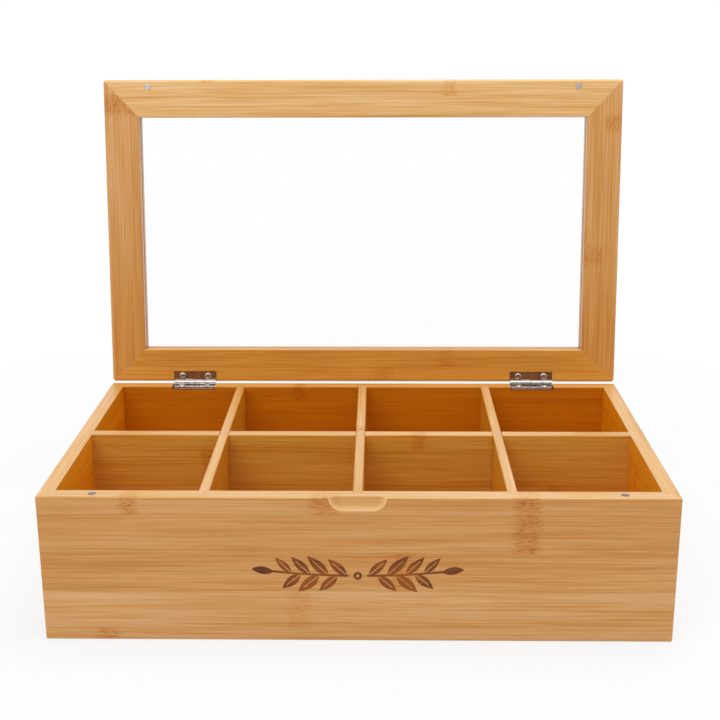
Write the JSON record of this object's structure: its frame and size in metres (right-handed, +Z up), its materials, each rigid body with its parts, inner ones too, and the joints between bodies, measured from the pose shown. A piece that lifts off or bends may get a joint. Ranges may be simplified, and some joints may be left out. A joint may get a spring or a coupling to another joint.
{
  "type": "tea bag organizer box",
  "caption": "Bamboo box with open-topped compartments under a hinged lid with a clear window, a thumb scoop in the front rim and magnetic catches.",
  "frame": {"origin": "centre of the box's underside, on the surface that it stands on", "axes": "+X to the right along the box's length, +Y to the back where the hinges are, +Z up"},
  "size_m": [0.325, 0.2282, 0.2705],
  "materials": {
    "bamboo_long": "sanded caramelised bamboo with a thin satin lacquer, grain along the box's length",
    "bamboo_cross": "sanded caramelised bamboo with a thin satin lacquer, grain along the box's depth",
    "bamboo_panel": "sanded bamboo ply with a thin satin lacquer",
    "clear_pane": "clear polished acrylic sheet",
    "hinge_plate": "bright nickel plate on rolled steel",
    "screw_steel": "bright nickel plate",
    "magnet": "nickel-plated magnet, slightly dulled"
  },
  "bodies": {
    "box": {"front_wall": "bamboo_long", "back_wall": "bamboo_long", "left_wall": "bamboo_cross", "right_wall": "bamboo_cross", "bottom_panel": "bamboo_panel", "long_divider": "bamboo_long", "cross_divider_left": "bamboo_cross", "cross_divider_centre": "bamboo_cross", "cross_divider_right": "bamboo_cross", "box_magnet_left": "magnet", "box_magnet_right": "magnet", "left_hinge_box_leaf": "hinge_plate", "left_hinge_pin": "hinge_plate", "left_hinge_box_screws": "screw_steel", "right_hinge_box_leaf": "hinge_plate", "right_hinge_pin": "hinge_plate", "right_hinge_box_screws": "screw_steel"},
    "lid": {"lid_front_rail": "bamboo_long", "lid_back_rail": "bamboo_long", "lid_left_stile": "bamboo_cross", "lid_right_stile": "bamboo_cross", "window_pane": "clear_pane", "lid_magnet_left": "magnet", "lid_magnet_right": "magnet", "left_hinge_lid_leaf": "hinge_plate", "left_hinge_lid_screws": "screw_steel", "right_hinge_lid_leaf": "hinge_plate", "right_hinge_lid_screws": "screw_steel"}
  },
  "joints": [
    {"name": "lid_hinge", "type": "hinge", "parent": "box", "child": "lid", "pos_m": [0, 0.09625, 0.08015], "axis": [1, 0, 0], "range_deg": [0, 97]}
  ]
}
